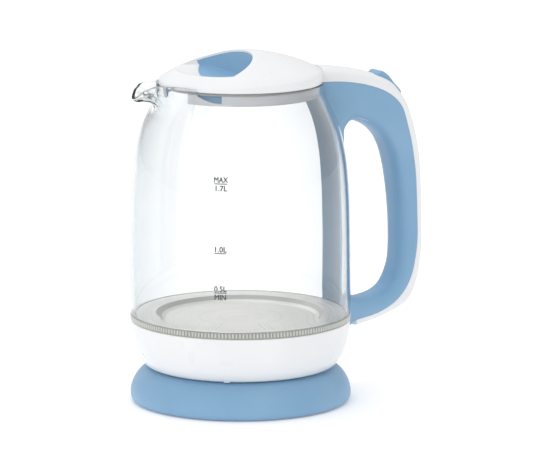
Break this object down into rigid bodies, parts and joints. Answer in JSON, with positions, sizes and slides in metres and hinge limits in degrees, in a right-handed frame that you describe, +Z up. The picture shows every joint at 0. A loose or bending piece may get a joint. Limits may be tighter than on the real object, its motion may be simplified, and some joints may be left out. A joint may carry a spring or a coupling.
{
  "type": "electric kettle",
  "caption": "Cordless glass electric kettle with a lift-off lid, a closed loop handle with a thumb switch and a round power base.",
  "frame": {"origin": "centre of the power base on the surface it stands on, which is the kettle's own turning axis", "axes": "+Z up, -X towards the spout, +X towards the handle, symmetric about the XZ plane"},
  "size_m": [0.2203, 0.15, 0.2397],
  "materials": {
    "blue_plastic": "satin light blue moulded plastic",
    "white_plastic": "glossy white moulded plastic",
    "black_plastic": "fine grained black nylon",
    "rubber": "grey rubber",
    "silicone": "translucent silicone",
    "steel": "satin stainless steel",
    "aluminium": "plain aluminium",
    "brass": "plain brass",
    "glass": "clear borosilicate glass",
    "clear_plastic": "clear ribbed plastic",
    "wire": "silicone insulated wire"
  },
  "bodies": {
    "base": {"base_shell": "blue_plastic", "base_plate": "black_plastic", "foot_1": "rubber", "foot_2": "rubber", "foot_3": "rubber", "foot_4": "rubber", "centre_pad": "rubber", "base_screws": "steel", "base_socket": "black_plastic", "socket_contacts": "brass", "shutter_spring": "steel", "terminal_block": "white_plastic"},
    "turntable": {"socket_shutter": "black_plastic"},
    "jug": {"glass_jug": "glass", "ribbed_ring": "clear_plastic", "lower_housing": "white_plastic", "bottom_cover": "black_plastic", "bottom_screws": "steel", "heater_plate": "steel", "plate_gasket": "silicone", "clamp_ring": "steel", "heat_spreader": "aluminium", "heating_element": "aluminium", "element_pins": "steel", "control_unit": "black_plastic", "bimetal_discs": "steel", "jug_connector": "black_plastic", "connector_ring": "brass", "connector_pin": "brass", "indicator_lamps": "clear_plastic", "handle_grip": "blue_plastic", "handle_cover": "white_plastic", "rocker_pin": "steel", "lever_pin": "steel", "switch_frame": "white_plastic", "micro_switch": "black_plastic", "steam_disc": "steel", "switch_wires": "wire"},
    "lid": {"lid_dome": "white_plastic", "finger_bowl": "blue_plastic", "lid_skirt": "white_plastic", "lid_seal": "silicone", "lid_screws": "steel"},
    "rocker": {"power_rocker": "blue_plastic"},
    "lever": {"steam_lever": "black_plastic"}
  },
  "joints": [
    {"name": "kettle_turn", "type": "hinge", "parent": "base", "child": "turntable", "pos_m": [0, 0, 0], "axis": [0, 0, 1], "continuous": true},
    {"name": "kettle_lift", "type": "slide", "parent": "turntable", "child": "jug", "axis": [0, 0, 1], "range_m": [0, 0.06]},
    {"name": "lid_lift", "type": "slide", "parent": "jug", "child": "lid", "axis": [0, 0, 1], "range_m": [0, 0.04]},
    {"name": "power_press", "type": "hinge", "parent": "jug", "child": "rocker", "pos_m": [0.1165, 0, 0.20435], "axis": [0, -1, 0], "range_deg": [0, 7]},
    {"name": "steam_trip", "type": "hinge", "parent": "jug", "child": "lever", "pos_m": [0.097, 0, 0.19655], "axis": [0, -1, 0], "range_deg": [-7, 0]}
  ],
  "couplings": [
    {"joint": "steam_trip", "follows": "power_press", "ratio": -1}
  ]
}
